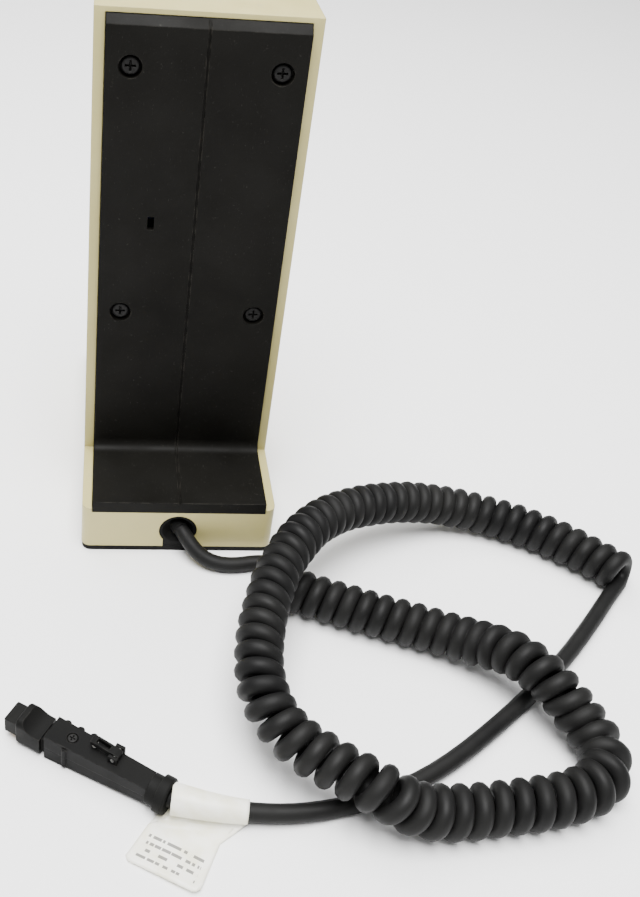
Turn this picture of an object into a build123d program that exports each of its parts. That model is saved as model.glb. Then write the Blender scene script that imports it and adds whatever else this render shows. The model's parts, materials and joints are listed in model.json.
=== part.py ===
from build123d import *
import math
import os

# Desk-stand push-to-talk microphone with a curly cord, in millimetres.
# +Z is up, -Y is the talker's side, +Y is the rear, where the cord leaves.
# The origin is on the table, under the middle of the microphone's own box.

# ---- driving dimensions ----
WIDTH = 76.0               # housing, across the tower and the base
DEPTH = 136.0              # base, front to rear
HEIGHT = 204.0             # table to the top of the tower
BASE_TOP = 22.0            # table to the base's top face
TOWER_REAR = 30.0          # Y of the tower's rear face
TOWER_DEPTH = 36.0         # tower, front to rear
PAD = 2.5                  # rubber pad under the base
PLATE = 2.0                # steel base plate
WALL = 2.6                 # moulded wall
RIM = 3.8                  # side rim beside the rear cover
TOP_RIM = 1.8              # rim above the rear cover
CORNER = 3.5               # base's upright corners
NOSE = 8.0                 # slope at the front of the base
COVER = 5.0                # rear cover, thickness at its edge
SKIN = 2.4                 # rear cover, thickness inside its edge
PROUD = 3.2                # how far the cover stands out of the rim
COVER_GAP = 0.2            # between the cover's edge and the rim
FOLD_R = 4.0               # hollow bend of the cover
SCREW_X = 25.5             # cover screws, each side of the middle
SCREW_Z = (90.4, 185.5)    # cover screws, above the table
RECESS_R = 4.0             # screw recess
RECESS = 3.0               # depth of the screw recess
PILOT = 1.3                # screw hole in a boss
SLOT_X, SLOT_Z = 15.9, 128.2          # gain slot in the cover
GROOVE_W, GROOVE_DEEP = 0.9, 0.7      # groove down the cover's middle
GRILLE_X, GRILLE_Z = 29.0, (112.0, 196.0)
SOUND_X, SOUND_Z = 24.0, (132.0, 188.0)
MIC_Z = 160.0
BOARD_X, BOARD_Z, BOARD_Y = 19.0, (66.0, 136.0), (16.0, 17.6)
BOARD_SCREWS = [(-15.5, 70.0), (15.5, 70.0), (-15.5, 126.0), (15.5, 112.0)]
MIC_SCREW_X = 27.0
PTT_X, PTT_Y, PTT_TOP = 26.0, (-55.0, -31.0), 26.0
PTT_FOOT = 17.0            # lower edge of the talk bar
PTT_PIVOT_Y, PTT_PIVOT_Z = -27.0, 13.5
PIN_R = 1.5
RUNNING = 0.05             # running fit, each side
SWITCH_Y = -47.0           # talk switch
BUTTON_X, BUTTON_Y, BUTTON_TOP = 11.0, (-24.0, -12.0), 25.0
BUTTON_FOOT = 17.2
SWITCH_BOARD = (7.5, 9.1)  # Z of the switch board
SWITCH_SCREWS = [(sx * 14.0, y) for sx in (-1, 1) for y in (-53.0, -13.0)]
PLATE_SCREWS = [(sx * 30.2, y) for sx in (-1, 1) for y in (-58.0, 58.0)]
BALLAST_TOP = 13.5
GROMMET_R, GROMMET_Z = 7.5, 10.9
GROMMET_THROAT = 5.7       # half width where the round opening meets the wall's foot
CLAMP_Y = (53.0, 59.0)
CORD_D = 6.0               # cord jacket
CURL_D = 17.2              # outside of the curly part
FLOOR_GAP = 0.1            # cord above the table

REAR, FRONT, SIDE = DEPTH / 2, -DEPTH / 2, WIDTH / 2
TOWER_FRONT = TOWER_REAR - TOWER_DEPTH
INSIDE = TOWER_FRONT + WALL                # tower's front wall, inner face
OPENING_X = SIDE - RIM                     # half width of the room behind the cover
OPENING_TOP = HEIGHT - TOP_RIM
COVER_X = OPENING_X - COVER_GAP
COVER_FACE = TOWER_REAR + PROUD            # Y of the cover's rear face
COVER_ROOF = BASE_TOP + PROUD              # Z of the cover's top face on the base
COVER_BACK = COVER_FACE - COVER            # Y of the cover's inner edge
COVER_UNDER = COVER_ROOF - COVER           # Z of the cover's lower edge on the base
PLATE_TOP = PAD + PLATE
CEILING = BASE_TOP - WALL                  # underside of the base's top wall
LEAD_Z = CORD_D / 2 + FLOOR_GAP
CURL_Z = CURL_D / 2 + FLOOR_GAP
GROMMET_FOOT = GROMMET_Z - math.sqrt(GROMMET_R ** 2 - GROMMET_THROAT ** 2)

# Where the cord leaves the grommet, and the way it points there.
EXIT = (-1.2, 66.2, 10.34)
EXIT_WAY = Vector(-0.45, 0.85, -0.28).normalized()

# The cord's route on the table, chosen by hand: the lead from the base,
# the curly part, and the lead to the plug.
LEAD_BASE = [EXIT, (-4.0, 71.4, 8.6), (-8.6, 75.8, 5.2), (-15.0, 78.6, 3.4), (-23.0, 78.9, LEAD_Z),
             (-30.5, 77.2, LEAD_Z), (-38.0, 77.6, LEAD_Z), (-41.4, 83.0, LEAD_Z), (-39.6, 90.0, LEAD_Z)]
CURLY = [(-37.5, 95.0, CURL_Z), (-47.0, 99.2, CURL_Z), (-58.0, 103.7, CURL_Z),
         (-73.5, 109.8, CURL_Z), (-90.5, 116.2, CURL_Z), (-105.0, 124.0, 10.6),
         (-115.0, 134.6, 17.9), (-124.6, 147.6, 17.9), (-132.5, 157.6, 11.6),
         (-137.8, 168.3, CURL_Z), (-134.6, 178.2, CURL_Z), (-124.8, 184.0, CURL_Z),
         (-111.5, 187.0, CURL_Z), (-97.0, 188.6, CURL_Z), (-81.0, 190.2, CURL_Z),
         (-67.5, 191.0, 11.6), (-56.5, 188.2, 17.9), (-42.4, 178.8, 17.9),
         (-30.0, 170.2, 19.4), (-21.8, 157.0, 23.4), (-22.6, 136.6, 26.8),
         (-32.0, 108.0, 29.2), (-45.7, 86.3, 28.8), (-59.8, 72.0, 25.2), (-77.3, 61.8, 21.0),
         (-97.6, 53.8, 15.6), (-117.7, 51.3, 10.4), (-134.4, 55.6, CURL_Z),
         (-148.6, 62.6, CURL_Z), (-165.5, 75.6, CURL_Z), (-177.0, 87.4, CURL_Z)]
LEAD_PLUG = [(-178.4, 85.2, LEAD_Z), (-169.5, 95.0, LEAD_Z), (-156.5, 109.5, LEAD_Z),
             (-137.0, 129.3, LEAD_Z), (-110.0, 151.6, LEAD_Z), (-81.0, 172.2, LEAD_Z),
             (-57.5, 181.8, LEAD_Z), (-36.5, 186.0, 3.2), (-19.5, 186.3, 3.9),
             (-3.0, 184.4, 5.4), (8.2, 181.5, 6.0)]

# The plug lies on the table, its own X from the cord to the contacts.
PLUG = Pos(7.4, 181.8, 0) * Rot(0, 0, -31)
PLUG_Z = 6.0               # axis of the collar
PLUG_NECK, PLUG_FULL = 7.0, 44.0           # the shell's narrow and wide ends
PLUG_SPLIT = 5.4
LATCH_S, LATCH_T, LATCH_Z = 20.5, -1.4, 11.6

os.makedirs("parts", exist_ok=True)


# ---- helpers ----
def save(shape, node):
    export_step(shape, f"parts/{node}.step")


def group(solids):
    return Compound(children=list(solids))


def block(x0, x1, y0, y1, z0, z1):
    middle = Pos((x0 + x1) / 2, (y0 + y1) / 2, (z0 + z1) / 2)
    return middle * Box(x1 - x0, y1 - y0, z1 - z0)


def rod_x(y, z, x0, x1, radius):
    return Pos((x0 + x1) / 2, y, z) * Rot(0, 90, 0) * Cylinder(radius, x1 - x0)


def rod_y(x, z, y0, y1, radius):
    return Pos(x, (y0 + y1) / 2, z) * Rot(90, 0, 0) * Cylinder(radius, y1 - y0)


def rod_z(x, y, z0, z1, radius):
    return Pos(x, y, (z0 + z1) / 2) * Cylinder(radius, z1 - z0)


def side_profile(points, x0, x1):
    """A solid between x0 and x1 from an outline of (Y, Z) points."""
    face = make_face(Plane.YZ * Polyline(*points, close=True))
    return Pos(x0, 0, 0) * extrude(face, x1 - x0, dir=(1, 0, 0))


def upright_edges(shape, y):
    return [e for e in shape.edges().filter_by(Axis.Z) if abs(e.center().Y - y) < 0.01]


def both_sides(make):
    return [make(side) for side in (-1, 1)]


def screw(head_r, head_h, shank_r, length):
    """A pan-head screw with a cross recess, its head above Z = 0."""
    head = Pos(0, 0, head_h / 2) * Cylinder(head_r, head_h)
    head = fillet(head.edges().group_by(Axis.Z)[-1], head_h * 0.4)
    wing = extrude(Rectangle(head_r * 1.2, head_r * 0.28), -head_h * 0.7, taper=12)
    head -= Pos(0, 0, head_h) * (wing + Rot(0, 0, 90) * wing)
    return head + Pos(0, 0, -length / 2) * Cylinder(shank_r, length)


def boss_y(x, z, y1, outer, pilot):
    """A screw boss on the tower's front wall."""
    return rod_y(x, z, INSIDE - 0.3, y1, outer) - rod_y(x, z, INSIDE + 2, y1 + 1, pilot)


def coil_spring(x, y, z0, z1, radius, wire, turns):
    """A compression spring as a stack of closed rings, one a turn."""
    pitch = (z1 - z0 - wire) / (turns - 1)
    return group(Pos(x, y, z0 + wire / 2 + i * pitch) * Torus(radius, wire / 2) for i in range(turns))


def tube(points, diameter, name):
    """Straight runs joined by arcs as large as each pair of runs allows."""
    route = [Vector(p) for p in points]
    runs = [b - a for a, b in zip(route, route[1:])]
    radii = []
    for before, after in zip(runs, runs[1:]):
        half_turn = math.radians(before.get_angle(after)) / 2
        radii.append(0.45 * min(before.length, after.length) / math.tan(half_turn))
    path = FilletPolyline(*route, radius=radii)
    section = Plane(origin=path @ 0, z_dir=path % 0) * Circle(diameter / 2)
    solid = sweep(section, path=path)
    ratio = solid.volume / (path.length * math.pi * diameter ** 2 / 4)
    print(f"{name}: length {path.length:.0f}, volume ratio {ratio:.4f}, radii", [round(r) for r in radii])
    return solid


# ---- the cream housing ----
def housing():
    outline = [(REAR, PAD), (REAR, BASE_TOP), (TOWER_REAR, BASE_TOP), (TOWER_REAR, HEIGHT),
               (TOWER_FRONT, HEIGHT), (TOWER_FRONT, BASE_TOP), (FRONT + NOSE, BASE_TOP),
               (FRONT, BASE_TOP - NOSE), (FRONT, PAD)]
    shell = side_profile(outline, -SIDE, SIDE)
    shell = fillet(upright_edges(shell, REAR) + upright_edges(shell, FRONT), CORNER)
    shell = fillet(upright_edges(shell, TOWER_FRONT), 2 * CORNER)
    shell -= block(-OPENING_X, OPENING_X, INSIDE, REAR - WALL, 0, COVER_UNDER)
    shell -= block(-OPENING_X, OPENING_X, INSIDE, TOWER_REAR + 1, COVER_UNDER - 1, OPENING_TOP)
    shell -= block(-OPENING_X, OPENING_X, COVER_BACK, REAR + 1, COVER_UNDER, OPENING_TOP / 2)
    front_room = [(INSIDE + 1, 0), (INSIDE + 1, CEILING), (FRONT + NOSE + 1, CEILING),
                  (FRONT + WALL, CEILING - NOSE + WALL - 1), (FRONT + WALL, 0)]
    shell -= side_profile(front_room, -OPENING_X, OPENING_X)
    shell -= control_openings()
    shell -= block(-GRILLE_X, GRILLE_X, TOWER_FRONT - 1, TOWER_FRONT + 1.2, *GRILLE_Z)
    shell -= block(-SOUND_X, SOUND_X, TOWER_FRONT, INSIDE + 1, *SOUND_Z)
    shell += [boss_y(s * SCREW_X, z, COVER_BACK, 3.6, PILOT) for s in (-1, 1) for z in SCREW_Z]
    shell += [boss_y(x, z, BOARD_Y[0], 2.8, 0.9) for x, z in BOARD_SCREWS]
    shell += [boss_y(s * MIC_SCREW_X, MIC_Z, 8.0, 2.6, 0.9) for s in (-1, 1)]
    shell += [plate_boss(x, y) for x, y in PLATE_SCREWS]
    notch = block(-GROMMET_THROAT, GROMMET_THROAT, REAR - WALL - 1, REAR + 1, 0, GROMMET_FOOT)
    return shell - notch - rod_y(0, GROMMET_Z, REAR - WALL - 1, REAR + 1, GROMMET_R)


def control_openings():
    bar = block(-PTT_X - 0.4, PTT_X + 0.4, PTT_Y[0] - 1.2, PTT_Y[1] + 0.4, CEILING - 1, BASE_TOP + 1)
    button = block(-BUTTON_X - 0.35, BUTTON_X + 0.35, BUTTON_Y[0] - 0.35, BUTTON_Y[1] + 0.35,
                   CEILING - 1, BASE_TOP + 1)
    return bar + button


def plate_boss(x, y):
    """A boss for a base plate screw, tied to the side wall by a rib."""
    top = CEILING + 0.3 if y < 0 else CEILING - 3
    wall = math.copysign(SIDE - 2, x)
    rib = block(min(x, wall), max(x, wall), y - 0.8, y + 0.8, PLATE_TOP, 14)
    return rod_z(x, y, PLATE_TOP, top, 3.0) + rib - rod_z(x, y, PLATE_TOP - 1, 14, PILOT)


# ---- the charcoal rear cover ----
def cover_form(half_width, inset):
    """The cover's outer form, with its tall face, fold and ledge set in by the inset."""
    bevel = PROUD - 0.4
    top = OPENING_TOP - COVER_GAP
    face, roof = COVER_FACE - inset, COVER_ROOF - inset
    outline = [(REAR, roof), (face, roof), (face, top - bevel), (COVER_FACE - bevel, top),
               (COVER_BACK, top), (COVER_BACK, COVER_UNDER), (REAR, COVER_UNDER)]
    form = side_profile(outline, -half_width, half_width)
    fold = [e for e in form.edges().filter_by(Axis.X)
            if abs(e.center().Y - face) < 0.01 and abs(e.center().Z - roof) < 0.01]
    return fillet(fold, FOLD_R + inset)


def rear_cover():
    cover = cover_form(COVER_X, 0)
    top = OPENING_TOP - COVER_GAP
    inner_y, inner_z = COVER_FACE - SKIN, COVER_ROOF - SKIN
    hollow = [(COVER_BACK - 1, COVER_UNDER - 1), (REAR - SKIN, COVER_UNDER - 1), (REAR - SKIN, inner_z),
              (inner_y, inner_z), (inner_y, top - SKIN), (COVER_BACK - 1, top - SKIN)]
    cover -= side_profile(hollow, -COVER_X + SKIN, COVER_X - SKIN)
    for x, z in [(s * SCREW_X, z) for s in (-1, 1) for z in SCREW_Z]:
        cover += rod_y(x, z, COVER_BACK, COVER_FACE - 0.5, RECESS_R + 1.5)
        cover -= rod_y(x, z, COVER_FACE - RECESS, COVER_FACE + 1, RECESS_R)
        cover -= rod_y(x, z, COVER_BACK - 1, COVER_FACE, PILOT + 0.3)
    cover -= block(SLOT_X - 1.2, SLOT_X + 1.2, COVER_BACK, COVER_FACE + 1, SLOT_Z - 2.6, SLOT_Z + 2.6)
    cover -= cover_form(GROOVE_W / 2, 0) - cover_form(GROOVE_W, GROOVE_DEEP)
    return cover


def rear_cover_screws():
    seat = COVER_FACE - RECESS
    one = screw(3.2, 2.0, PILOT, 12.0)
    return group(Pos(s * SCREW_X, seat, z) * Rot(-90, 0, 0) * one for s in (-1, 1) for z in SCREW_Z)


# ---- grille, microphone and preamplifier in the tower ----
def front_grille():
    x, (z0, z1) = GRILLE_X - 0.2, GRILLE_Z
    plate = block(-x, x, TOWER_FRONT - 1, TOWER_FRONT + 1.2, z0 + 0.2, z1 - 0.2)
    plate = fillet(plate.edges().group_by(Axis.Y)[0], 0.8)
    pitch = 4.4
    slots = [block(-SOUND_X + 3, SOUND_X - 3, TOWER_FRONT - 2, TOWER_FRONT + 2, z, z + 2)
             for z in [SOUND_Z[0] + 3 + i * pitch for i in range(12)]]
    return plate - slots


def grille_cloth():
    x, (z0, z1) = SOUND_X - 0.4, SOUND_Z
    return block(-x, x, TOWER_FRONT + 1.2, TOWER_FRONT + 2.0, z0 + 0.4, z1 - 0.4)


def mic_boot():
    front = TOWER_FRONT + 2.0
    ring = rod_y(0, MIC_Z, front, front + 11, 15)
    ring = fillet(ring.edges().group_by(Axis.Y)[-1], 1.5)
    return ring - rod_y(0, MIC_Z, front + 1, front + 12, 11) - rod_y(0, MIC_Z, front - 1, front + 2, 9)


def mic_cartridge():
    body = rod_y(0, MIC_Z, TOWER_FRONT + 3, 8, 11)
    holes = [rod_y(6 * math.cos(a), MIC_Z + 6 * math.sin(a), TOWER_FRONT + 2, TOWER_FRONT + 4.2, 0.8)
             for a in [math.tau * i / 8 for i in range(8)]]
    return body - holes - rod_y(0, MIC_Z, TOWER_FRONT + 2, TOWER_FRONT + 4.2, 0.8)


def mic_retainer():
    strap = block(-31, 31, 8, 9.4, MIC_Z - 4, MIC_Z + 4) + rod_y(0, MIC_Z, 8, 9.4, 9)
    strap -= rod_y(0, MIC_Z, 7, 10, 4)
    return strap - both_sides(lambda s: rod_y(s * MIC_SCREW_X, MIC_Z, 7, 10, 1.2))


def mic_retainer_screws():
    one = screw(2.2, 1.4, 0.9, 8.0)
    return group(Pos(s * MIC_SCREW_X, 9.4, MIC_Z) * Rot(-90, 0, 0) * one for s in (-1, 1))


def preamp_board():
    board = block(-BOARD_X, BOARD_X, *BOARD_Y, *BOARD_Z)
    return board - [rod_y(x, z, BOARD_Y[0] - 1, BOARD_Y[1] + 1, 1.2) for x, z in BOARD_SCREWS]


def preamp_board_screws():
    one = screw(2.2, 1.4, 0.9, 7.0)
    return group(Pos(x, BOARD_Y[1], z) * Rot(-90, 0, 0) * one for x, z in BOARD_SCREWS)


def preamp_capacitors():
    cans = [(-11, 84, 3.2, 8.0), (-3.5, 88, 2.5, 6.5), (9, 90, 3.2, 8.0), (-11, 114, 2.5, 6.5)]
    return group(rod_y(x, z, BOARD_Y[1], BOARD_Y[1] + tall, r) for x, z, r, tall in cans)


def preamp_chip():
    body = block(-5, 3, BOARD_Y[1], BOARD_Y[1] + 2.6, 98, 108)
    legs = [block(x, x + 1.6, BOARD_Y[1], BOARD_Y[1] + 0.9, z, z + 0.8)
            for x in (-6.4, 2.8) for z in (99.0, 101.4, 103.8, 106.2)]
    return body + legs


def preamp_header():
    shroud = block(-6, 6, BOARD_Y[1], BOARD_Y[1] + 5, 74, 80)
    return shroud - block(-5, 5, BOARD_Y[1] + 1.2, BOARD_Y[1] + 3.8, 73, 78)


def harness_connector():
    body = block(-5.6, 5.6, BOARD_Y[1] + 0.3, BOARD_Y[1] + 4.7, 67, 74)
    return fillet(body.edges().filter_by(Axis.Z), 0.6)


def trimmer_body():
    y = BOARD_Y[1]
    body = block(SLOT_X - 3.5, SLOT_X + 3.5, y, y + 5, SLOT_Z - 3.5, SLOT_Z + 3.5)
    return body - rod_y(SLOT_X, SLOT_Z, y + 2.9, y + 6, 2.4 + RUNNING)


def trimmer_rotor():
    y = BOARD_Y[1]
    rotor = rod_y(SLOT_X, SLOT_Z, y + 3, y + 5.4, 2.4)
    return rotor - block(SLOT_X - 2.5, SLOT_X + 2.5, y + 4.4, y + 6, SLOT_Z - 0.4, SLOT_Z + 0.4)


# ---- base plate, pad and ballast ----
def base_plate():
    plate = block(-COVER_X, COVER_X, FRONT + WALL + 0.2, REAR - WALL - 0.2, PAD, PLATE_TOP)
    plate = fillet(plate.edges().filter_by(Axis.Z), 1.0)
    plate += [rod_z(x, y, PLATE_TOP, SWITCH_BOARD[0], 2.6) for x, y in SWITCH_SCREWS]
    plate -= [rod_z(x, y, PAD + 0.6, SWITCH_BOARD[0] + 1, 0.9) for x, y in SWITCH_SCREWS]
    plate -= [rod_z(x, y, PAD - 1, PLATE_TOP + 1, PILOT + 0.3) for x, y in PLATE_SCREWS]
    plate -= [rod_z(x, y, PAD - 1, PAD + 1.3, 2.9) for x, y in PLATE_SCREWS]
    plate -= [rod_z(x, y, PAD + 0.4, PLATE_TOP + 1, 1.3) for x, y in ballast_screw_places()]
    return plate - both_sides(lambda s: rod_z(s * 6.4, sum(CLAMP_Y) / 2, PAD + 0.4, PLATE_TOP + 1, 1.1))


def base_plate_screws():
    one = Rot(180, 0, 0) * screw(2.6, 1.3, PILOT, 8.0)
    return group(Pos(x, y, PAD + 1.3) * one for x, y in PLATE_SCREWS)


def base_pad():
    inset = 0.3
    pad = block(-SIDE + inset, SIDE - inset, FRONT + inset, REAR - inset, 0, PAD)
    return fillet(pad.edges().filter_by(Axis.Z), CORNER)


def ballast_screw_places():
    return [(-18.0, 19.0), (18.0, 19.0)]


def ballast_weight():
    slab = block(-24, 24, 0, 38, PLATE_TOP, BALLAST_TOP)
    slab = chamfer(slab.edges().filter_by(Axis.Z), 2.0)
    return slab - [rod_z(x, y, 0, BALLAST_TOP + 1, 1.7) for x, y in ballast_screw_places()]


def ballast_screws():
    one = screw(3.2, 2.0, 1.3, BALLAST_TOP - PAD - 0.6)
    return group(Pos(x, y, BALLAST_TOP) * one for x, y in ballast_screw_places())


# ---- talk bar and monitor button ----
def ptt_bar():
    (y0, y1), top = PTT_Y, PTT_TOP
    bar = block(-PTT_X, PTT_X, y0, y1, PTT_FOOT, top)
    bar = fillet(bar.edges().group_by(Axis.Z)[-1], 1.6)
    bar -= block(-PTT_X + 2.5, PTT_X - 2.5, y0 + 2.5, y1 - 2.5, PTT_FOOT - 1, top - 3.5)
    bar += block(-20, 20, y0 - 2.2, y0 + 1, PTT_FOOT, CEILING - 0.5)
    bar += block(8.5, 11.5, SWITCH_Y - 1.5, SWITCH_Y + 1.5, 18.6, top - 3)
    bar -= block(-20, 20, -50, -40, top - 0.8, top + 1)
    for x in (-21, 18):
        bar += block(x, x + 3, y1 - 2.4, PTT_PIVOT_Y, 12, CEILING - 0.5)
        bar += rod_x(PTT_PIVOT_Y, PTT_PIVOT_Z, x, x + 3, 3.0)
    return bar - rod_x(PTT_PIVOT_Y, PTT_PIVOT_Z, -30, 30, PIN_R + RUNNING)


def ptt_bar_pad():
    strip = block(-19.9, 19.9, -49.9, -40.1, PTT_TOP - 0.8, PTT_TOP + 0.6)
    ribs = [block(-19.9, 19.9, y, y + 0.8, PTT_TOP + 0.2, PTT_TOP + 1) for y in (-49, -47, -45, -43)]
    return strip - ribs


def ptt_pivot_pin():
    return rod_x(PTT_PIVOT_Y, PTT_PIVOT_Z, -27, 27, PIN_R)


def ptt_bracket():
    strip = block(-26, 26, -30.2, -23.8, PLATE_TOP, PLATE_TOP + 1.4)
    ears = [block(x, x + 3, -30.2, -23.8, PLATE_TOP, 17) for x in (-26, 23)]
    bracket = strip + ears
    return bracket - rod_x(PTT_PIVOT_Y, PTT_PIVOT_Z, -28, 28, PIN_R)


def ptt_spring():
    return coil_spring(-12, -46, SWITCH_BOARD[1], PTT_TOP - 3.5, 2.6, 0.6, 8)


def switch_board():
    board = block(-17, 17, -56, -10, *SWITCH_BOARD)
    return board - [rod_z(x, y, 6, 10, 1.2) for x, y in SWITCH_SCREWS]


def switch_board_screws():
    one = screw(2.2, 1.4, 0.9, 5.5)
    return group(Pos(x, y, SWITCH_BOARD[1]) * one for x, y in SWITCH_SCREWS)


def ptt_switch():
    body = block(4, 16, SWITCH_Y - 3, SWITCH_Y + 3, SWITCH_BOARD[1], 15)
    body -= [rod_z(5.6, SWITCH_Y, 8, 16, 0.7), rod_z(14.4, SWITCH_Y, 8, 16, 0.7)]
    return body - rod_z(10, SWITCH_Y, 10, 16, 1.2 + RUNNING)


def ptt_plunger():
    pin = rod_z(10, SWITCH_Y, 12.2, 18.3, 1.2)
    return fillet(pin.edges().group_by(Axis.Z)[-1], 0.4)


def monitor_button():
    (x, (y0, y1)) = BUTTON_X, BUTTON_Y
    cap = block(-x, x, y0, y1, BUTTON_FOOT, BUTTON_TOP)
    cap = fillet(cap.edges().group_by(Axis.Z)[-1], 1.0)
    cap -= Pos(0, (y0 + y1) / 2, BUTTON_TOP + 18.6) * Rot(0, 90, 0) * Cylinder(19, 2 * x - 5)
    return cap + block(-x - 1.6, x + 1.6, y0, y1, BUTTON_FOOT, CEILING - 0.5)


def monitor_spring():
    return coil_spring(8, -18, SWITCH_BOARD[1], BUTTON_FOOT, 1.8, 0.5, 6)


def monitor_switch():
    body = block(-3.5, 3.5, -21.5, -14.5, SWITCH_BOARD[1], 13.6)
    return body - rod_z(0, -18, 9.5, 15, 1.2 + RUNNING)


def monitor_plunger():
    return rod_z(0, -18, 11.6, BUTTON_FOOT - 0.3, 1.2)


# ---- where the cord enters the base ----
def cord_grommet():
    face = REAR - 0.4
    wall_in = REAR - WALL
    body = rod_y(0, GROMMET_Z, wall_in, face, GROMMET_R)
    body += block(-GROMMET_THROAT, GROMMET_THROAT, wall_in, face, PAD, GROMMET_FOOT)
    flange = rod_y(0, GROMMET_Z, wall_in - 4, wall_in, 8.6 - 0.2)
    flange += block(-8.4, 8.4, wall_in - 4, wall_in, PLATE_TOP, GROMMET_Z)
    flange -= block(-20, 20, 0, REAR, -5, PLATE_TOP)
    dish = Pos(0, face - 1.6, GROMMET_Z) * Rot(-90, 0, 0) * Cone(3.6, 6.3, 3.2)
    snout_middle = Vector(EXIT) - EXIT_WAY * 1.5
    snout = Plane(origin=snout_middle, z_dir=EXIT_WAY) * Cylinder(3.3, 3.0)
    return body + flange - dish + snout


def cord_clamp():
    saddle = block(-9, 9, *CLAMP_Y, PLATE_TOP, 14.5)
    saddle = fillet(saddle.edges().filter_by(Axis.Y).group_by(Axis.Z)[-1], 2.0)
    saddle -= rod_y(0, GROMMET_Z, CLAMP_Y[0] - 1, CLAMP_Y[1] + 1, 2.0)
    return saddle - both_sides(lambda s: rod_z(s * 6.4, sum(CLAMP_Y) / 2, 0, 20, 1.1))


def cord_clamp_screws():
    one = screw(1.9, 1.3, 1.1, 11.2)
    return group(Pos(s * 6.4, sum(CLAMP_Y) / 2, 14.5) * one for s in (-1, 1))


def inner_lead():
    y = BOARD_Y[1] + 2.5
    route = [(0, REAR - WALL - 4, GROMMET_Z), (0, 48.0, GROMMET_Z), (1.5, 40, 16.4), (2.5, 27, 17.6),
             (1.5, y, 27), (0.6, y + 0.8, 47), (0, y, 68)]
    return tube(route, 4.0, "inner lead")


# ---- the plug, in its own frame ----
def plug_body():
    """The shell's whole outline: it widens and deepens from the neck to the wide end."""
    neck, full = PLUG_NECK, PLUG_FULL
    plan = make_face(Polyline((neck, -3.5), (full, -4.5), (full, 4.5), (neck, 3.5), close=True))
    body = extrude(plan, 20)
    side = make_face(Plane.XZ * Polyline((neck, 2.2), (full, 0.4), (full, 10.9), (neck, 9.5), close=True))
    body &= Pos(0, 10, 0) * extrude(side, 20, dir=(0, -1, 0))
    ridges = [rod_z(s, -4.0, 2.0, 10.2, 1.4) for s in (30.5, 35.5, 40.5)]
    return body + ridges + rod_z(36.5, 4.1, 1.6, 9.4, 1.0)


def plug_shell_half(z0, z1):
    half = plug_body() & block(0, PLUG_FULL + 1, -20, 20, z0, z1)
    return half - rod_z(36, 0, -1, z1 + 2, 0.9)


def plug_shell_base():
    return plug_shell_half(0, PLUG_SPLIT)


def plug_shell_cover():
    lid = plug_shell_half(PLUG_SPLIT, 12)
    lid += [block(LATCH_S - 1.6, LATCH_S + 1.6, t - 0.5, t + 0.5, 9.0, LATCH_Z + 1.2) for t in latch_ears()]
    lid -= rod_y(LATCH_S, LATCH_Z, -6, 6, 0.7)
    return lid - rod_z(36, 0, 9.8, 13, 1.9)


def latch_ears():
    return LATCH_T - 2.4, LATCH_T + 2.4


def plug_screw():
    return Pos(36, 0, 9.8) * screw(1.7, 0.9, 0.9, 8.0)


def plug_head():
    head = block(45.6, 55, -5.0, 5.0, 0.3, 11.6)
    head = fillet(head.edges().filter_by(Axis.X), 2.4)
    head = fillet(head.edges().group_by(Axis.X)[-1], 0.8)
    scoop = 7.5
    head -= Pos(46.5, 0, 11.6 + scoop * 0.55) * Rot(90, 0, 0) * Cylinder(scoop, 20)
    return head + block(PLUG_FULL, 46, -3.4, 3.4, 1.4, 7.6)


def plug_contact_block():
    body = block(55, 60, -3.9, 3.9, 3.0, 8.8)
    body = chamfer(body.edges().group_by(Axis.X)[-1], 0.4)
    return body - [block(56, 59.4, t - 0.2, t + 0.2, 2.4, 4.1) for t in contact_places()]


def contact_places():
    return [0.85 * (i - 3.5) for i in range(8)]


def plug_contacts():
    return group(block(56, 59.4, t - 0.2, t + 0.2, 2.9, 4.1) for t in contact_places())


def plug_collar():
    ring = rod_x(0, PLUG_Z, 0, 3.6, 5.9) + rod_x(0, PLUG_Z, 0, PLUG_NECK, 4.9)
    return fillet(ring.edges().group_by(Axis.X)[0], 1.0)


def plug_latch():
    """A small frame lever, its open middle between two side bars."""
    outline = [(LATCH_S - 1.4, 10.9), (LATCH_S + 1.4, 10.9), (29.5, 12.4), (29.5, 13.6),
               (27.6, 13.7), (LATCH_S, 12.8), (LATCH_S - 1.4, 12.4)]
    face = make_face(Plane.XZ * Polyline(*outline, close=True))
    lever = Pos(0, LATCH_T + 1.5, 0) * extrude(face, 3.0, dir=(0, -1, 0))
    lever -= block(22.8, 27.6, LATCH_T - 0.8, LATCH_T + 0.8, 10, 17)
    return lever - rod_y(LATCH_S, LATCH_Z, -6, 6, 0.7 + RUNNING)


def plug_latch_pin():
    return rod_y(LATCH_S, LATCH_Z, latch_ears()[0] - 0.5, latch_ears()[1] + 0.5, 0.7)


def plug_latch_spring():
    return coil_spring(28.4, LATCH_T, 10.45, 11.75, 0.9, 0.3, 3)


# ---- the label wrapped round the cord beside the plug ----
def cord_tag():
    start, end = Vector(-17.0, 186.1, 4.35), Vector(3.6, 182.7, 5.5)
    way = (end - start).normalized()
    middle = (start + end) * 0.5
    run = (end - start).length
    sleeve = Plane(origin=middle, z_dir=way) * Cone(4.2, 5.3, run)
    sleeve -= Plane(origin=middle, z_dir=way) * Cylinder(3.75, run + 1)
    corners = [(-8.0, 192.0), (-12.0, 187.2), (3.0, 187.2), (12.6, 187.4), (21.2, 197.8), (0.4, 209.5)]
    flag = Pos(0, 0, 0.1) * extrude(make_face(Polyline(*corners, close=True)), 0.7)
    return sleeve + flag + block(-11.0, 2.0, 189.2, 189.8, 0.1, 4.6)


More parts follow.
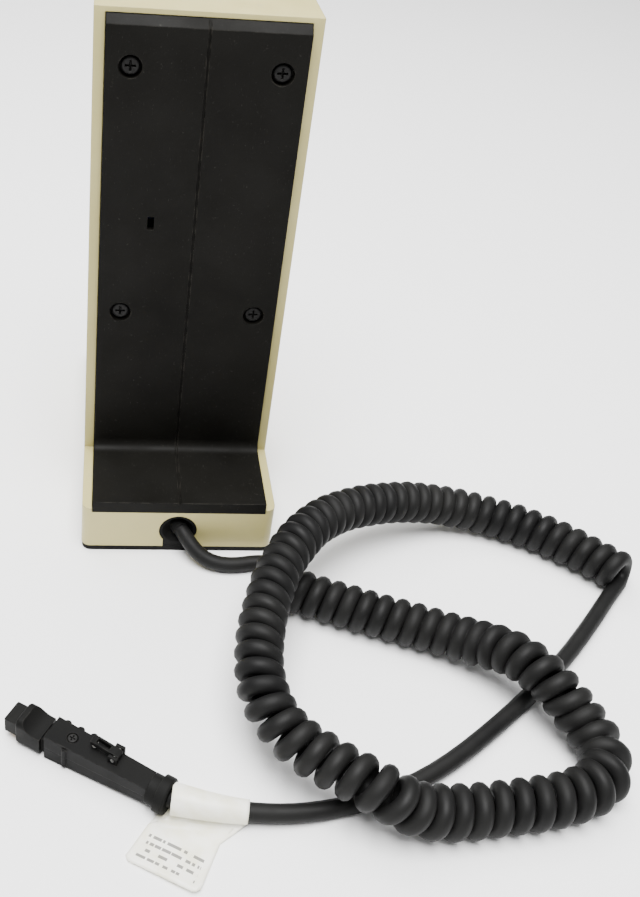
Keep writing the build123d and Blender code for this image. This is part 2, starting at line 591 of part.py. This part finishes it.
PLUG_NODES = [plug_shell_base, plug_shell_cover, plug_screw, plug_head, plug_contact_block,
              plug_contacts, plug_collar, plug_latch, plug_latch_pin, plug_latch_spring]
BODY_NODES = [housing, rear_cover, rear_cover_screws, front_grille, grille_cloth, mic_boot,
              mic_cartridge, mic_retainer, mic_retainer_screws, preamp_board, preamp_board_screws,
              preamp_capacitors, preamp_chip, preamp_header, harness_connector, trimmer_body,
              trimmer_rotor, base_plate, base_plate_screws, base_pad, ballast_weight, ballast_screws,
              ptt_bar, ptt_bar_pad, ptt_pivot_pin, ptt_bracket, ptt_spring, switch_board,
              switch_board_screws, ptt_switch, ptt_plunger, monitor_button, monitor_spring,
              monitor_switch, monitor_plunger, cord_grommet, cord_clamp, cord_clamp_screws,
              inner_lead, cord_tag]

for node in BODY_NODES:
    save(node(), node.__name__)
for node in PLUG_NODES:
    save(PLUG * node(), node.__name__)
save(tube(LEAD_BASE, CORD_D, "lead from the base"), "cord_lead_base")
save(tube(CURLY, CURL_D, "curly part"), "cord_curly")
save(tube(LEAD_PLUG, CORD_D, "lead to the plug"), "cord_lead_plug")
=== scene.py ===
import json
import math

import bmesh
import bpy
from mathutils import Matrix, Vector


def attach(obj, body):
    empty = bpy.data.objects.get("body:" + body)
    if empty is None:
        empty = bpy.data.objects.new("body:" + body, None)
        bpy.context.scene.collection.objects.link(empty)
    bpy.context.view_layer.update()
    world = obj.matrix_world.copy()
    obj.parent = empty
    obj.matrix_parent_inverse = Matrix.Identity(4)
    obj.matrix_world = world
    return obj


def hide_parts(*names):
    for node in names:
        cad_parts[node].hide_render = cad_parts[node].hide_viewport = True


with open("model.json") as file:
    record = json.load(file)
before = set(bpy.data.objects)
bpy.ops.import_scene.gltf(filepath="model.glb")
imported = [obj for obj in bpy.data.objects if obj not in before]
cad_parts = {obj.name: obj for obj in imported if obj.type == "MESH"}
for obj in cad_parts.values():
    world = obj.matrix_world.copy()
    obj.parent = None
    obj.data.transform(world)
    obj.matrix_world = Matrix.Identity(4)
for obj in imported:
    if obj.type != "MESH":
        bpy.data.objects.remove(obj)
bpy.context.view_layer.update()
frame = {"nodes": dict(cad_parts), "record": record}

MM = 0.001
CORD_D = 6.0 * MM               # cord jacket
CURL_D = 17.2 * MM              # outside of the curly part
COIL_R = (CURL_D - CORD_D) / 2  # the jacket's centre, from the curl's axis
TURN_POINTS = 16                # points on each turn of the curl
PULLED_FROM, PULLED_TO = 152 * MM, 178 * MM     # over these y the coil opens, and beyond it stays open
CLOSE_PITCH = 1.015             # spacing of the turns, in jackets, where the coil isn't pulled
PULLED_PITCH = 0.13             # added to it where the coil is pulled open
BEND_PITCH = 0.12               # how much a bend widens it, for each unit of COIL_R times curvature
BEND_MOST = 0.4                 # the sharpest bend that still widens it
LOOSE = 0.978                   # the curl's mean radius, as a share of the nominal one
SWELLS = ((0.012, 1.7, 0.0), (0.010, 0.61, 1.0))    # its slow changes: share, rate for each turn, start
BEND_REACH = 10                 # points to each side that a bend is averaged over
HEADING_REACH = 4               # points to each side that the line's heading is taken from
GUIDE_STEPS, CORD_STEPS = 24, 4                 # points for each control point: route line, cord
UP = Vector((0, 0, 1))


# ---- camera, at the photograph's viewing angle ----
CAMERA_PLACE = (0.0340, 0.3776, 0.3042)
CAMERA_TURN, CAMERA_DOWN, CAMERA_ROLL = 6.72, 33.96, 5.34      # degrees, from looking along -Y, level
CAMERA_LENS = 42.73
CAMERA_SHIFT = (0.1334, -0.1017)


def make_camera():
    camera = bpy.data.cameras.new("camera")
    camera.lens = CAMERA_LENS
    camera.shift_x, camera.shift_y = CAMERA_SHIFT
    holder = bpy.data.objects.new("camera", camera)
    bpy.context.scene.collection.objects.link(holder)
    place = Matrix.Translation(CAMERA_PLACE)
    heading = Matrix.Rotation(math.radians(180 - CAMERA_TURN), 4, "Z")
    tilt = Matrix.Rotation(math.radians(90 - CAMERA_DOWN), 4, "X")
    roll = Matrix.Rotation(math.radians(CAMERA_ROLL), 4, "Z")
    holder.matrix_world = place @ heading @ tilt @ roll
    bpy.context.scene.camera = holder


# ---- the cord's route, in millimetres ----
LEAD_Z = 3.1                    # height of the lead's axis where it lies on the table
CURL_Z = 8.7                    # and of the curl's
LEAD_BASE = [(-1.2, 66.2, 10.34), (-4.0, 71.4, 8.6), (-8.6, 75.8, 5.2), (-15.0, 78.6, 3.4),
             (-23.0, 78.9, LEAD_Z), (-30.5, 77.2, LEAD_Z), (-38.0, 77.6, LEAD_Z), (-41.4, 83.0, LEAD_Z)]
CURLY = [(-37.5, 95.0, CURL_Z), (-47.0, 99.2, CURL_Z), (-58.0, 103.7, CURL_Z),
         (-73.5, 109.8, CURL_Z), (-90.5, 116.2, CURL_Z), (-105.0, 124.0, 10.6),
         (-115.0, 134.6, 17.9), (-124.6, 147.6, 17.9), (-132.5, 157.6, 11.6),
         (-137.8, 168.3, CURL_Z), (-134.6, 178.2, CURL_Z), (-124.8, 184.0, CURL_Z),
         (-111.5, 187.0, CURL_Z), (-97.0, 188.6, CURL_Z), (-81.0, 190.2, CURL_Z),
         (-67.5, 191.0, 11.6), (-56.5, 188.2, 17.9), (-42.4, 178.8, 17.9),
         (-30.0, 170.2, 19.4), (-21.8, 157.0, 23.4), (-22.6, 136.6, 26.8),
         (-32.0, 108.0, 29.2), (-45.7, 86.3, 28.8), (-59.8, 72.0, 25.2), (-77.3, 61.8, 21.0),
         (-97.6, 53.8, 15.6), (-117.7, 51.3, 10.4), (-134.4, 55.6, CURL_Z),
         (-148.6, 62.6, CURL_Z), (-165.5, 75.6, CURL_Z), (-177.0, 87.4, CURL_Z)]
LEAD_PLUG = [(-169.5, 95.0, LEAD_Z), (-156.5, 109.5, LEAD_Z), (-137.0, 129.3, LEAD_Z),
             (-110.0, 151.6, LEAD_Z), (-81.0, 172.2, LEAD_Z), (-57.5, 181.8, LEAD_Z),
             (-36.5, 186.0, 3.2), (-19.5, 186.3, 3.9), (-3.0, 184.4, 5.4), (8.2, 181.5, 6.0)]


def metres(points):
    return [Vector(p) * MM for p in points]


def link(name, data):
    piece = bpy.data.objects.new(name, data)
    bpy.context.scene.collection.objects.link(piece)
    return piece


def nurbs(name, points, resolution):
    curve = bpy.data.curves.new(name, "CURVE")
    curve.dimensions = "3D"
    spline = curve.splines.new("NURBS")
    spline.points.add(len(points) - 1)
    for control, place in zip(spline.points, points):
        control.co = (*place, 1.0)
    spline.order_u = 3
    spline.use_endpoint_u = True
    spline.resolution_u = resolution
    curve.resolution_u = resolution
    return link(name, curve)


def line_points(points):
    """The points of the smooth line that the route's points control."""
    guide = nurbs("guide", points, GUIDE_STEPS)
    bpy.context.view_layer.update()
    mesh = bpy.data.meshes.new_from_object(guide)
    line = [v.co.copy() for v in mesh.vertices]
    bpy.data.objects.remove(guide)
    bpy.data.meshes.remove(mesh)
    return line


def curvatures(line):
    """How sharply the line bends at each point, smoothed over a few points."""
    raw = [0.0]
    for a, b, c in zip(line, line[1:], line[2:]):
        raw.append((b - a).angle(c - b, 0.0) / max((c - a).length / 2, 1e-6))
    raw.append(0.0)
    spans = [raw[max(0, i - BEND_REACH):i + BEND_REACH + 1] for i in range(len(raw))]
    return [sum(span) / len(span) for span in spans]


def curl_pitch(place, bend):
    """Turns lie close together, opened a little in each bend and along the pulled stretch."""
    pulled = min(max((place.y - PULLED_FROM) / (PULLED_TO - PULLED_FROM), 0), 1)
    pulled = pulled * pulled * (3 - 2 * pulled)
    widened = 1 + BEND_PITCH * min(COIL_R * bend, BEND_MOST)
    return CORD_D * (CLOSE_PITCH + PULLED_PITCH * pulled) * widened


def looseness(turn):
    """The curl's radius at this turn, as a share of the nominal one."""
    return LOOSE + sum(share * math.sin(turn * rate + start) for share, rate, start in SWELLS)


def curl_points(line):
    """A left-handed coil round the line."""
    bends = curvatures(line)
    turns = [0.0]
    for i in range(1, len(line)):
        step = (line[i] - line[i - 1]).length
        turns.append(turns[-1] + step / curl_pitch(line[i], bends[i]))
    whole = round(turns[-1])
    turns = [t * whole / turns[-1] for t in turns]
    radius = COIL_R / math.cos(math.pi / TURN_POINTS)
    coil = []
    i = 0
    for n in range(whole * TURN_POINTS + 1):
        turn = n / TURN_POINTS
        while i < len(line) - 2 and turns[i + 1] < turn:
            i += 1
        share = (turn - turns[i]) / (turns[i + 1] - turns[i])
        centre = line[i].lerp(line[i + 1], share)
        before = line[max(i - HEADING_REACH, 0)]
        after = line[min(i + 1 + HEADING_REACH, len(line) - 1)]
        way = (after - before).normalized()
        up = (UP - way * way.z).normalized()
        side = way.cross(up)
        angle = math.tau * turn
        outwards = side * math.sin(angle) - up * math.cos(angle)
        coil.append(centre + outwards * (radius * looseness(turn)))
    return coil


def make_cord():
    coil = curl_points(line_points(metres(CURLY)))
    cord = nurbs("cord", metres(LEAD_BASE) + coil + metres(LEAD_PLUG), CORD_STEPS)
    # The points hold the jacket's radius, because Blender widens the curve's box by theirs.
    cord.data.bevel_depth = 1
    for control in cord.data.splines[0].points:
        control.radius = CORD_D / 2
    cord.data.bevel_resolution = 4
    cord.data.use_fill_caps = True
    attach(cord, "microphone")
    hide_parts("cord_lead_base", "cord_curly", "cord_lead_plug")
    return cord


# ---- the label folded round the cord beside the plug ----
# Sizes and places are in millimetres. Each pair is for the label's end at the plug and its far end.
TAG_ROWS = 24                   # sections along the cord
TAG_ROUND = 20                  # points round the cord
TAG_FLAT = 10                   # points across each flat layer
TAG_X = (7.0, -16.8)                                      # where the ends are along the cord
TAG_GIRTH = [5.0, 3.6]                                    # radius round the cord
TAG_OUT = Vector((0.16, 0.98, 0))                         # square to the cord, to the label's side
TAG_FOLD = [(13.4, 185.8, 0.0), (-8.4, 192.4, 0.0)]       # where the layers meet the table
TAG_EDGE = [(22.0, 198.2, 0.0), (0.2, 210.2, 0.0)]        # the outer edge
TAG_WRAP_FROM, TAG_WRAP = -52, 292                        # degrees round the cord, from TAG_OUT
TAG_FILM = 0.13                 # thickness of the film
TAG_TOP_Z = 0.42                # height of the upper layer where it lies flat
TAG_GAP = 0.2                   # from the upper layer down to the lower one
TAG_LOWEST = 0.14               # the film's middle comes no lower
TAG_DIP, TAG_DIP_LOWEST = 1.2, 0.5                        # sag up to the cord, and its lowest height
TAG_LIFT = 1.1                  # how far the middle of the flat part stands up
TAG_CURL = 0.9                  # how far the outer edge curls up
TAG_CORNER = 0.09               # how far the corners are rounded in, as a share of the flat part
TAG_PATTERN = 20                # the printed pattern's unit across the sheet


def cord_at(x):
    """The plug lead's axis where it crosses x; it runs towards the plug along +X."""
    line = [place / MM for place in line_points(metres(LEAD_PLUG))]
    for a, b in zip(line, line[1:]):
        if a.x <= x <= b.x:
            return a.lerp(b, (x - a.x) / (b.x - a.x))
    return line[-1]


def between(pair, share):
    return Vector(pair[0]).lerp(Vector(pair[1]), share)


def not_below(points, lowest):
    return [Vector((p.x, p.y, max(p.z, lowest))) for p in points]


def tag_section(centre, share, pinch):
    """One line of the label: in along the table, round the cord and back out."""
    fold, edge = between(TAG_FOLD, share), between(TAG_EDGE, share)
    girth = TAG_GIRTH[0] + (TAG_GIRTH[1] - TAG_GIRTH[0]) * share ** 0.8
    out = TAG_OUT.normalized()
    edge = edge.lerp(fold, pinch)
    lift = TAG_LIFT * math.sin(math.pi * share) ** 2
    top = []
    for i in range(TAG_FLAT):
        t = i / TAG_FLAT
        curl = TAG_CURL * (1 - t) ** 3 * (0.4 + share)
        top.append(edge.lerp(fold, t) + UP * (TAG_TOP_Z + curl + lift * t * (1 - t)))
    ring = []
    for i in range(TAG_ROUND + 1):
        angle = math.radians(TAG_WRAP_FROM + TAG_WRAP * i / TAG_ROUND)
        ring.append(centre + (out * math.cos(angle) + UP * math.sin(angle)) * girth)
    start, end = top[-1], ring[0]
    rise = [start.lerp(end, t) - UP * (TAG_DIP * math.sin(math.pi * t)) for t in (0.25, 0.5, 0.75)]
    under = [p - UP * TAG_GAP for p in reversed(top)]
    back = [ring[-1].lerp(under[0], t) for t in (0.2, 0.45, 0.7, 0.9)]
    return not_below(top + not_below(rise, TAG_DIP_LOWEST) + ring + back + under, TAG_LOWEST)


def make_tag():
    mesh = bpy.data.meshes.new("label")
    form = bmesh.new()
    sheet = form.loops.layers.uv.new("UVMap")
    rows = []
    for n in range(TAG_ROWS + 1):
        share = n / TAG_ROWS
        corner = max(0.0, 1 - min(share, 1 - share) * 12)
        centre = cord_at(TAG_X[0] + (TAG_X[1] - TAG_X[0]) * share)
        section = tag_section(centre, share, TAG_CORNER * corner ** 2)
        along = [0.0]
        for a, b in zip(section, section[1:]):
            along.append(along[-1] + (b - a).length)
        rows.append([(form.verts.new(p * MM), share, d) for p, d in zip(section, along)])
    for one, two in zip(rows, rows[1:]):
        for corners in zip(one, one[1:], two[1:], two):
            face = form.faces.new([c[0] for c in corners])
            face.smooth = True
            for loop, (_, share, distance) in zip(face.loops, corners):
                loop[sheet].uv = (share, distance / TAG_PATTERN)
    form.to_mesh(mesh)
    form.free()
    tag = link("cord_label", mesh)
    thick = tag.modifiers.new("film", "SOLIDIFY")
    thick.thickness = TAG_FILM * MM
    thick.offset = 0
    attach(tag, "microphone")
    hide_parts("cord_tag")
    return tag


# ---- materials ----
class Finish:
    """A material's nodes, with short calls for the ones used most."""

    def __init__(self, name, roughness, metallic=0.0, specular=0.5):
        self.material = bpy.data.materials.new(name)
        self.material.use_nodes = True
        self.tree = self.material.node_tree
        self.shader = self.tree.nodes["Principled BSDF"]
        self.shader.inputs["Roughness"].default_value = roughness
        self.shader.inputs["Metallic"].default_value = metallic
        self.shader.inputs["Specular IOR Level"].default_value = specular
        self.place = self.node("ShaderNodeTexCoord").outputs["Object"]
        self.rounded = None

    def node(self, kind, **values):
        made = self.tree.nodes.new(kind)
        for key, value in values.items():
            setattr(made, key, value)
        return made

    def join(self, source, target):
        self.tree.links.new(source, target)

    def noise(self, size, detail, stretch=(1, 1, 1)):
        """Noise whose features are about size millimetres across."""
        scale = self.node("ShaderNodeMapping")
        scale.inputs["Scale"].default_value = stretch
        self.join(self.place, scale.inputs["Vector"])
        made = self.node("ShaderNodeTexNoise")
        made.inputs["Scale"].default_value = 1 / (size * MM)
        made.inputs["Detail"].default_value = detail
        self.join(scale.outputs["Vector"], made.inputs["Vector"])
        return made.outputs["Fac"]

    def spread(self, value, low, high, to_low=0.0, to_high=1.0):
        made = self.node("ShaderNodeMapRange")
        made.inputs["From Min"].default_value = low
        made.inputs["From Max"].default_value = high
        made.inputs["To Min"].default_value = to_low
        made.inputs["To Max"].default_value = to_high
        self.join(value, made.inputs["Value"])
        return made.outputs["Result"]

    def math(self, operation, a, b):
        made = self.node("ShaderNodeMath", operation=operation)
        for socket, value in zip(made.inputs, (a, b)):
            if isinstance(value, (int, float)):
                socket.default_value = value
            else:
                self.join(value, socket)
        return made.outputs["Value"]

    def mix(self, share, a, b):
        """A colour between a and b; each is a colour or another node's output."""
        made = self.node("ShaderNodeMix", data_type="RGBA")
        self.join(share, made.inputs[0])
        for socket, value in ((made.inputs[6], a), (made.inputs[7], b)):
            if isinstance(value, tuple):
                socket.default_value = (*value, 1)
            else:
                self.join(value, socket)
        return made.outputs[2]

    def edges(self, radius):
        """1 at sharp edges and 0 on flat faces."""
        rounded = self.node("ShaderNodeBevel", samples=6)
        rounded.inputs["Radius"].default_value = radius * MM
        flat = self.node("ShaderNodeNewGeometry").outputs["Normal"]
        dot = self.node("ShaderNodeVectorMath", operation="DOT_PRODUCT")
        self.rounded = rounded.outputs["Normal"]
        self.join(self.rounded, dot.inputs[0])
        self.join(flat, dot.inputs[1])
        return self.spread(dot.outputs["Value"], 0.98, 0.86)

    def bump(self, height, distance):
        made = self.node("ShaderNodeBump")
        made.inputs["Distance"].default_value = distance * MM
        self.join(height, made.inputs["Height"])
        if self.rounded:
            self.join(self.rounded, made.inputs["Normal"])
        self.join(made.outputs["Normal"], self.shader.inputs["Normal"])

    def colour(self, value):
        self.join(value, self.shader.inputs["Base Color"])

    def roughness(self, value):
        self.join(value, self.shader.inputs["Roughness"])


def moulded(name, dark, light, worn, rough, specular=0.4, grain=0.5, depth=0.02, wear=0.5):
    """Moulded plastic or rubber: cloudy colour, fine grain, and edges rubbed to a worn colour."""
    finish = Finish(name, rough[0], specular=specular)
    clouds = finish.spread(finish.noise(28, 5), 0.35, 0.65)
    tone = finish.mix(clouds, dark, light)
    patchy = finish.spread(finish.noise(3.5, 4), 0.42, 0.62)
    rubbed = finish.math("MULTIPLY", finish.math("MULTIPLY", finish.edges(0.45), patchy), wear)
    finish.colour(finish.mix(rubbed, tone, worn))
    fine = finish.noise(grain, 4)
    finish.roughness(finish.spread(finish.noise(7, 6), 0.3, 0.7, *rough))
    finish.bump(fine, depth)
    return finish.material


def cream():
    finish = Finish("cream_moulding", 0.4, specular=0.45)
    yellowing = finish.spread(finish.noise(60, 4), 0.35, 0.65)
    tone = finish.mix(yellowing, (0.385, 0.335, 0.125), (0.440, 0.388, 0.160))
    specks = finish.spread(finish.noise(0.9, 2), 0.70, 0.78)
    tone = finish.mix(finish.math("MULTIPLY", specks, 0.5), tone, (0.30, 0.26, 0.15))
    scuffs = finish.spread(finish.noise(5, 6, (1, 1, 6)), 0.63, 0.74)
    tone = finish.mix(finish.math("MULTIPLY", scuffs, 0.35), tone, (0.33, 0.30, 0.19))
    grime = finish.math("MULTIPLY", finish.edges(0.5), finish.spread(finish.noise(6, 4), 0.45, 0.65))
    finish.colour(finish.mix(finish.math("MULTIPLY", grime, 0.45), tone, (0.22, 0.19, 0.10)))
    finish.roughness(finish.spread(finish.noise(9, 5), 0.3, 0.7, 0.34, 0.5))
    finish.bump(finish.noise(0.7, 4), 0.02)
    return finish.material


def charcoal():
    finish = Finish("charcoal_moulding", 0.5, specular=0.06)
    clouds = finish.spread(finish.noise(35, 5), 0.35, 0.65)
    tone = finish.mix(clouds, (0.0034, 0.0032, 0.0026), (0.0058, 0.0055, 0.0046))
    dust = finish.spread(finish.noise(1.3, 3), 0.68, 0.80)
    tone = finish.mix(finish.math("MULTIPLY", dust, 0.25), tone, (0.07, 0.068, 0.06))
    scratches = finish.spread(finish.noise(2.2, 5, (8, 1, 1)), 0.66, 0.74)
    tone = finish.mix(finish.math("MULTIPLY", scratches, 0.2), tone, (0.08, 0.078, 0.07))
    rubbed = finish.math("MULTIPLY", finish.edges(0.6), finish.spread(finish.noise(4, 4), 0.42, 0.6))
    finish.colour(finish.mix(finish.math("MULTIPLY", rubbed, 0.5), tone, (0.050, 0.046, 0.038)))
    finish.roughness(finish.spread(finish.noise(12, 6), 0.3, 0.7, 0.44, 0.6))
    finish.bump(finish.noise(0.45, 3), 0.03)
    return finish.material


def metal(name, dark, light, rough, grain=0.6, stretch=(1, 1, 1), depth=0.01):
    finish = Finish(name, rough[0], metallic=1.0)
    finish.colour(finish.mix(finish.spread(finish.noise(4, 5), 0.35, 0.65), dark, light))
    lines = finish.noise(grain, 4, stretch)
    finish.roughness(finish.spread(lines, 0.3, 0.7, *rough))
    finish.bump(lines, depth)
    return finish.material


def blackened():
    """Black-oxide screw steel, rubbed through a little at its edges."""
    finish = Finish("blackened_steel", 0.45, metallic=0.25, specular=0.15)
    tone = finish.mix(finish.noise(1.5, 4), (0.004, 0.004, 0.004), (0.012, 0.0115, 0.011))
    rubbed = finish.math("MULTIPLY", finish.edges(0.25), finish.spread(finish.noise(1.2, 3), 0.45, 0.6))
    finish.colour(finish.mix(finish.math("MULTIPLY", rubbed, 0.35), tone, (0.08, 0.078, 0.074)))
    finish.roughness(finish.spread(finish.noise(0.8, 4), 0.3, 0.7, 0.36, 0.6))
    finish.bump(finish.noise(0.3, 3), 0.01)
    return finish.material


def woven():
    finish = Finish("grille_cloth", 0.85, specular=0.2)
    threads = []
    for direction in ("X", "Z"):
        wave = finish.node("ShaderNodeTexWave", bands_direction=direction)
        wave.inputs["Scale"].default_value = 320
        wave.inputs["Distortion"].default_value = 0.4
        finish.join(finish.place, wave.inputs["Vector"])
        threads.append(wave.outputs["Fac"])
    height = finish.math("MAXIMUM", *threads)
    finish.colour(finish.mix(height, (0.004, 0.004, 0.004), (0.028, 0.027, 0.025)))
    finish.bump(height, 0.25)
    return finish.material


def circuit():
    finish = Finish("circuit_board", 0.4)
    brick = finish.node("ShaderNodeTexBrick")
    brick.inputs["Scale"].default_value = 180
    brick.inputs["Mortar Size"].default_value = 0.02
    finish.join(finish.place, brick.inputs["Vector"])
    base = finish.mix(finish.noise(5, 4), (0.012, 0.085, 0.03), (0.02, 0.13, 0.05))
    finish.colour(finish.mix(brick.outputs["Fac"], base, (0.05, 0.22, 0.08)))
    finish.roughness(finish.spread(finish.noise(3, 3), 0.3, 0.7, 0.3, 0.5))
    finish.bump(brick.outputs["Fac"], 0.03)
    return finish.material


PRINT_LINES = 8.0               # lines of strokes for each TAG_PATTERN across the sheet
LINE_SHARE = 0.42               # the part of a line that a stroke takes up
WORDS, WORD_SHIFT = 16.0, 7.3   # how often strokes break off, and how far each line's differ
MARGINS = (0.1, 0.9)            # the strokes' first and last place along the cord
PRINTED = (0.13, 0.62)          # and across the sheet


def within(finish, value, ends):
    """1 where the value is between both ends, and 0 elsewhere."""
    return finish.math("MULTIPLY", finish.math("GREATER_THAN", value, ends[0]),
                       finish.math("LESS_THAN", value, ends[1]))


def paper():
    """White label film, faintly yellowed, with rows of plain grey strokes."""
    finish = Finish("label_film", 0.35, specular=0.5)
    finish.place = finish.node("ShaderNodeUVMap", uv_map="UVMap").outputs["UV"]
    axes = finish.node("ShaderNodeSeparateXYZ")
    finish.join(finish.place, axes.inputs["Vector"])
    across, along = axes.outputs["X"], axes.outputs["Y"]
    line = finish.math("MULTIPLY", along, PRINT_LINES)
    row = finish.math("LESS_THAN", finish.math("FRACT", line, 0.0), LINE_SHARE)
    number = finish.math("FLOOR", line, 0.0)
    words = finish.node("ShaderNodeTexNoise", noise_dimensions="2D")
    words.inputs["Scale"].default_value = 1.0
    words.inputs["Detail"].default_value = 0.0
    cell = finish.node("ShaderNodeCombineXYZ")
    finish.join(finish.math("MULTIPLY", across, WORDS), cell.inputs["X"])
    finish.join(finish.math("MULTIPLY", number, WORD_SHIFT), cell.inputs["Y"])
    finish.join(cell.outputs["Vector"], words.inputs["Vector"])
    stroke = finish.math("MULTIPLY", row, finish.math("GREATER_THAN", words.outputs["Fac"], 0.42))
    printed = finish.math("MULTIPLY", within(finish, across, MARGINS), within(finish, along, PRINTED))
    ink = finish.math("MULTIPLY", stroke, printed)
    stain = finish.node("ShaderNodeTexNoise")
    stain.inputs["Scale"].default_value = 3.0
    finish.join(finish.place, stain.inputs["Vector"])
    yellowing = finish.spread(stain.outputs["Fac"], 0.4, 0.65)
    film = finish.mix(yellowing, (0.90, 0.885, 0.80), (0.80, 0.775, 0.60))
    finish.colour(finish.mix(finish.math("MULTIPLY", ink, 0.85), film, (0.05, 0.05, 0.045)))
    finish.roughness(finish.spread(stain.outputs["Fac"], 0.3, 0.7, 0.28, 0.42))
    return finish.material


def finishes():
    return {
        "cream_housing": cream(),
        "charcoal_cover": charcoal(),
        "black_plastic": moulded("black_moulding", (0.004, 0.004, 0.004), (0.007, 0.007, 0.0065),
                                 (0.06, 0.058, 0.052), (0.45, 0.62), specular=0.06, depth=0.03),
        "black_rubber": moulded("black_rubber", (0.004, 0.004, 0.004), (0.007, 0.007, 0.0065),
                                (0.03, 0.03, 0.027), (0.55, 0.75), specular=0.08, depth=0.03),
        "cord_jacket": moulded("cord_jacket", (0.0055, 0.0055, 0.0055), (0.0095, 0.0094, 0.0090),
                               (0.05, 0.05, 0.048), (0.46, 0.64), specular=0.12, grain=0.9, wear=0.0),
        "screw_steel": blackened(),
        "bright_steel": metal("bright_steel", (0.52, 0.52, 0.50), (0.66, 0.65, 0.63), (0.22, 0.4)),
        "spring_steel": metal("spring_steel", (0.36, 0.35, 0.33), (0.5, 0.49, 0.47), (0.25, 0.42)),
        "ballast_iron": metal("cast_iron", (0.09, 0.088, 0.085), (0.16, 0.155, 0.15), (0.5, 0.75),
                              grain=1.4, depth=0.15),
        "cloth": woven(),
        "board": circuit(),
        "component": moulded("component_black", (0.012, 0.012, 0.012), (0.02, 0.02, 0.02),
                             (0.1, 0.1, 0.1), (0.35, 0.5)),
        "blue_component": moulded("component_blue", (0.02, 0.07, 0.25), (0.03, 0.1, 0.33),
                                  (0.3, 0.4, 0.6), (0.3, 0.45)),
        "white_component": moulded("component_white", (0.62, 0.6, 0.52), (0.72, 0.7, 0.62),
                                   (0.4, 0.38, 0.3), (0.35, 0.5)),
        "cartridge_metal": metal("drawn_can", (0.6, 0.6, 0.59), (0.74, 0.74, 0.73), (0.2, 0.38),
                                 stretch=(1, 8, 1)),
        "contact_gold": metal("contact_gold", (0.78, 0.5, 0.16), (0.9, 0.62, 0.24), (0.2, 0.35)),
        "label": paper(),
    }


def dress_nodes(looks):
    """Every CAD node takes the finish of its record slot."""
    for part in frame["record"]["subparts"]:
        node = frame["nodes"][part["node"]]
        for slot in node.material_slots:
            slot.material = looks[part["material_slot"]]


# ---- floor and light ----
LIT_POINT = (0, 0.08, 0.05)     # what both lamps aim at


def lamp(name, place, energy, size):
    area = bpy.data.lights.new(name, "AREA")
    area.energy = energy
    area.size = size
    holder = link(name, area)
    holder.location = place
    aim = Vector(LIT_POINT) - Vector(place)
    holder.rotation_euler = aim.to_track_quat("-Z", "Y").to_euler()


def floor_and_light():
    bpy.ops.mesh.primitive_plane_add(size=8, location=(0, 0, 0))
    floor = bpy.context.object
    floor.name = "floor"
    surface = Finish("floor", 0.7, specular=0.1)
    surface.shader.inputs["Base Color"].default_value = (0.95, 0.95, 0.95, 1)
    floor.data.materials.append(surface.material)
    world = bpy.data.worlds.new("world")
    bpy.context.scene.world = world
    world.use_nodes = True
    sky = world.node_tree.nodes["Background"].inputs
    sky["Color"].default_value = (1, 1, 1, 1)
    sky["Strength"].default_value = 0.42
    lamp("front", (0.15, -0.45, 1.2), 20, 1.0)
    lamp("overhead", (0.05, 0.35, 1.35), 56, 0.9)


make_camera()
tag = make_tag()
cord = make_cord()
looks = finishes()
cord.data.materials.append(looks["cord_jacket"])
tag.data.materials.append(looks["label"])
dress_nodes(looks)
floor_and_light()
